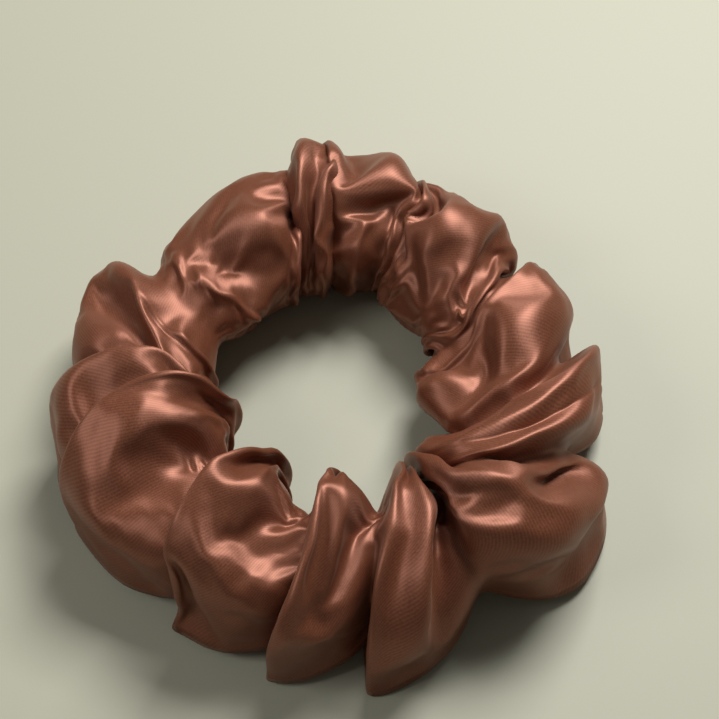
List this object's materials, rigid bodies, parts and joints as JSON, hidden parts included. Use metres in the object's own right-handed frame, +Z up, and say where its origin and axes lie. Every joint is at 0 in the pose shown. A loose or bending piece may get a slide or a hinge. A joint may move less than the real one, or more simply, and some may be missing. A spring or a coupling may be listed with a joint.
{
  "type": "scrunchie",
  "caption": "Gathered satin hair scrunchie: a sewn cloth tube bunched over a ring of flat braided elastic.",
  "frame": {"origin": "on the surface that the scrunchie lies on, under the middle of the ring", "axes": "+Z up, out of the table, along the ring's axis; +X through the closing seam; +Y a quarter turn on"},
  "size_m": [0.1094, 0.1072, 0.0321],
  "materials": {
    "satin": "copper brown polyester satin",
    "sewing_thread": "brown spun polyester",
    "braid": "off-white braided polyester",
    "rubber": "natural latex"
  },
  "bodies": {
    "sleeve": {"satin_sleeve": "satin", "long_seam_needle_thread": "sewing_thread", "long_seam_bobbin_thread": "sewing_thread", "closing_seam_needle_thread": "sewing_thread", "closing_seam_bobbin_thread": "sewing_thread"},
    "elastic": {"elastic_braid": "braid", "elastic_rubber_strands": "rubber", "elastic_join_needle_thread": "sewing_thread", "elastic_join_bobbin_thread": "sewing_thread"}
  },
  "joints": [
    {"name": "elastic_slip", "type": "hinge", "parent": "sleeve", "child": "elastic", "pos_m": [0, 0, 0.01583], "axis": [0, 0, 1], "continuous": true}
  ]
}
